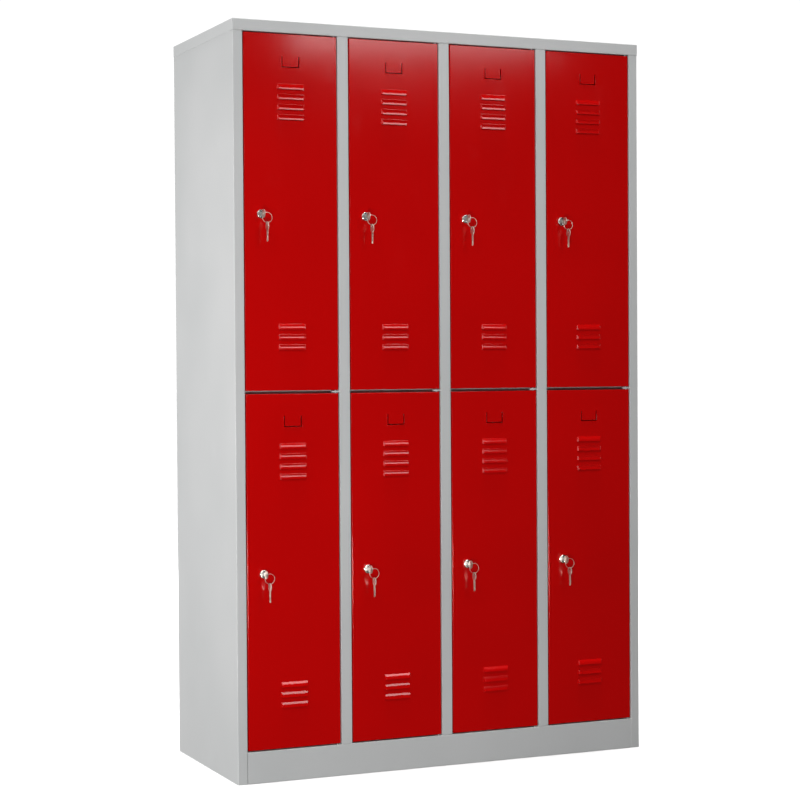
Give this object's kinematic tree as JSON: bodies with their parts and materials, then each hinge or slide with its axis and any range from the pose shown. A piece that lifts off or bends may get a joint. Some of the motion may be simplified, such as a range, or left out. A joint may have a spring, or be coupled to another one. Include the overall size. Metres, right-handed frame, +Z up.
{
  "type": "locker cabinet",
  "caption": "Sheet-steel locker cabinet with columns of lockers in two tiers, hinged louvred doors and cam locks with keys.",
  "frame": {"origin": "floor level, middle of the box that the cabinet and the keys in its doors take up", "axes": "+Z up; the doors face -Y and the back panel +Y; +X to the right of someone facing the doors"},
  "size_m": [1.18, 0.5338, 1.95],
  "materials": {
    "body_paint": "light grey powder coat, satin",
    "door_paint": "signal red powder coat, semi-gloss",
    "rod_zinc": "bright zinc plate",
    "lock_chrome": "polished chrome plate",
    "key_nickel": "nickel plate on brass, worn"
  },
  "bodies": {
    "cabinet": {"left_side_panel": "body_paint", "right_side_panel": "body_paint", "top_panel": "body_paint", "base_tray": "body_paint", "back_panel": "body_paint", "partition_1": "body_paint", "partition_2": "body_paint", "partition_3": "body_paint", "shelf_upper_1": "body_paint", "shelf_upper_2": "body_paint", "shelf_upper_3": "body_paint", "shelf_upper_4": "body_paint"},
    "door_lower_1": {"door_lower_1": "door_paint", "hinge_rod_lower_1": "rod_zinc", "lock_barrel_lower_1": "lock_chrome"},
    "lock_lower_1": {"lock_cam_lower_1": "rod_zinc", "key_lower_1": "key_nickel"},
    "spare_lower_1": {"spare_key_lower_1": "key_nickel"},
    "door_upper_1": {"door_upper_1": "door_paint", "hinge_rod_upper_1": "rod_zinc", "lock_barrel_upper_1": "lock_chrome"},
    "lock_upper_1": {"lock_cam_upper_1": "rod_zinc", "key_upper_1": "key_nickel"},
    "spare_upper_1": {"spare_key_upper_1": "key_nickel"},
    "door_lower_2": {"door_lower_2": "door_paint", "hinge_rod_lower_2": "rod_zinc", "lock_barrel_lower_2": "lock_chrome"},
    "lock_lower_2": {"lock_cam_lower_2": "rod_zinc", "key_lower_2": "key_nickel"},
    "spare_lower_2": {"spare_key_lower_2": "key_nickel"},
    "door_upper_2": {"door_upper_2": "door_paint", "hinge_rod_upper_2": "rod_zinc", "lock_barrel_upper_2": "lock_chrome"},
    "lock_upper_2": {"lock_cam_upper_2": "rod_zinc", "key_upper_2": "key_nickel"},
    "spare_upper_2": {"spare_key_upper_2": "key_nickel"},
    "door_lower_3": {"door_lower_3": "door_paint", "hinge_rod_lower_3": "rod_zinc", "lock_barrel_lower_3": "lock_chrome"},
    "lock_lower_3": {"lock_cam_lower_3": "rod_zinc", "key_lower_3": "key_nickel"},
    "spare_lower_3": {"spare_key_lower_3": "key_nickel"},
    "door_upper_3": {"door_upper_3": "door_paint", "hinge_rod_upper_3": "rod_zinc", "lock_barrel_upper_3": "lock_chrome"},
    "lock_upper_3": {"lock_cam_upper_3": "rod_zinc", "key_upper_3": "key_nickel"},
    "spare_upper_3": {"spare_key_upper_3": "key_nickel"},
    "door_lower_4": {"door_lower_4": "door_paint", "hinge_rod_lower_4": "rod_zinc", "lock_barrel_lower_4": "lock_chrome"},
    "lock_lower_4": {"lock_cam_lower_4": "rod_zinc", "key_lower_4": "key_nickel"},
    "spare_lower_4": {"spare_key_lower_4": "key_nickel"},
    "door_upper_4": {"door_upper_4": "door_paint", "hinge_rod_upper_4": "rod_zinc", "lock_barrel_upper_4": "lock_chrome"},
    "lock_upper_4": {"lock_cam_upper_4": "rod_zinc", "key_upper_4": "key_nickel"},
    "spare_upper_4": {"spare_key_upper_4": "key_nickel"}
  },
  "joints": [
    {"name": "door_lower_1_swing", "type": "hinge", "parent": "cabinet", "child": "door_lower_1", "pos_m": [-0.31273, -0.22595, 0.085], "axis": [0, 0, 1], "range_deg": [0, 105]},
    {"name": "lock_lower_1_turn", "type": "hinge", "parent": "door_lower_1", "child": "lock_lower_1", "pos_m": [-0.51611, -0.23195, 0.536], "axis": [0, -1, 0], "range_deg": [0, 90]},
    {"name": "spare_lower_1_swing", "type": "hinge", "parent": "door_lower_1", "child": "spare_lower_1", "pos_m": [-0.51611, -0.23195, 0.536], "axis": [0, -1, 0], "range_deg": [-10, 15]},
    {"name": "door_upper_1_swing", "type": "hinge", "parent": "cabinet", "child": "door_upper_1", "pos_m": [-0.31273, -0.22595, 1.005], "axis": [0, 0, 1], "range_deg": [0, 105]},
    {"name": "lock_upper_1_turn", "type": "hinge", "parent": "door_upper_1", "child": "lock_upper_1", "pos_m": [-0.51611, -0.23195, 1.456], "axis": [0, -1, 0], "range_deg": [0, 90]},
    {"name": "spare_upper_1_swing", "type": "hinge", "parent": "door_upper_1", "child": "spare_upper_1", "pos_m": [-0.51611, -0.23195, 1.456], "axis": [0, -1, 0], "range_deg": [-10, 15]},
    {"name": "door_lower_2_swing", "type": "hinge", "parent": "cabinet", "child": "door_lower_2", "pos_m": [-0.02379, -0.22595, 0.085], "axis": [0, 0, 1], "range_deg": [0, 105]},
    {"name": "lock_lower_2_turn", "type": "hinge", "parent": "door_lower_2", "child": "lock_lower_2", "pos_m": [-0.22717, -0.23195, 0.536], "axis": [0, -1, 0], "range_deg": [0, 90]},
    {"name": "spare_lower_2_swing", "type": "hinge", "parent": "door_lower_2", "child": "spare_lower_2", "pos_m": [-0.22717, -0.23195, 0.536], "axis": [0, -1, 0], "range_deg": [-10, 15]},
    {"name": "door_upper_2_swing", "type": "hinge", "parent": "cabinet", "child": "door_upper_2", "pos_m": [-0.02379, -0.22595, 1.005], "axis": [0, 0, 1], "range_deg": [0, 105]},
    {"name": "lock_upper_2_turn", "type": "hinge", "parent": "door_upper_2", "child": "lock_upper_2", "pos_m": [-0.22717, -0.23195, 1.456], "axis": [0, -1, 0], "range_deg": [0, 90]},
    {"name": "spare_upper_2_swing", "type": "hinge", "parent": "door_upper_2", "child": "spare_upper_2", "pos_m": [-0.22717, -0.23195, 1.456], "axis": [0, -1, 0], "range_deg": [-10, 15]},
    {"name": "door_lower_3_swing", "type": "hinge", "parent": "cabinet", "child": "door_lower_3", "pos_m": [0.26516, -0.22595, 0.085], "axis": [0, 0, 1], "range_deg": [0, 105]},
    {"name": "lock_lower_3_turn", "type": "hinge", "parent": "door_lower_3", "child": "lock_lower_3", "pos_m": [0.06178, -0.23195, 0.536], "axis": [0, -1, 0], "range_deg": [0, 90]},
    {"name": "spare_lower_3_swing", "type": "hinge", "parent": "door_lower_3", "child": "spare_lower_3", "pos_m": [0.06178, -0.23195, 0.536], "axis": [0, -1, 0], "range_deg": [-10, 15]},
    {"name": "door_upper_3_swing", "type": "hinge", "parent": "cabinet", "child": "door_upper_3", "pos_m": [0.26516, -0.22595, 1.005], "axis": [0, 0, 1], "range_deg": [0, 105]},
    {"name": "lock_upper_3_turn", "type": "hinge", "parent": "door_upper_3", "child": "lock_upper_3", "pos_m": [0.06178, -0.23195, 1.456], "axis": [0, -1, 0], "range_deg": [0, 90]},
    {"name": "spare_upper_3_swing", "type": "hinge", "parent": "door_upper_3", "child": "spare_upper_3", "pos_m": [0.06178, -0.23195, 1.456], "axis": [0, -1, 0], "range_deg": [-10, 15]},
    {"name": "door_lower_4_swing", "type": "hinge", "parent": "cabinet", "child": "door_lower_4", "pos_m": [0.55412, -0.22595, 0.085], "axis": [0, 0, 1], "range_deg": [0, 105]},
    {"name": "lock_lower_4_turn", "type": "hinge", "parent": "door_lower_4", "child": "lock_lower_4", "pos_m": [0.35074, -0.23195, 0.536], "axis": [0, -1, 0], "range_deg": [0, 90]},
    {"name": "spare_lower_4_swing", "type": "hinge", "parent": "door_lower_4", "child": "spare_lower_4", "pos_m": [0.35074, -0.23195, 0.536], "axis": [0, -1, 0], "range_deg": [-10, 15]},
    {"name": "door_upper_4_swing", "type": "hinge", "parent": "cabinet", "child": "door_upper_4", "pos_m": [0.55412, -0.22595, 1.005], "axis": [0, 0, 1], "range_deg": [0, 105]},
    {"name": "lock_upper_4_turn", "type": "hinge", "parent": "door_upper_4", "child": "lock_upper_4", "pos_m": [0.35074, -0.23195, 1.456], "axis": [0, -1, 0], "range_deg": [0, 90]},
    {"name": "spare_upper_4_swing", "type": "hinge", "parent": "door_upper_4", "child": "spare_upper_4", "pos_m": [0.35074, -0.23195, 1.456], "axis": [0, -1, 0], "range_deg": [-10, 15]}
  ]
}
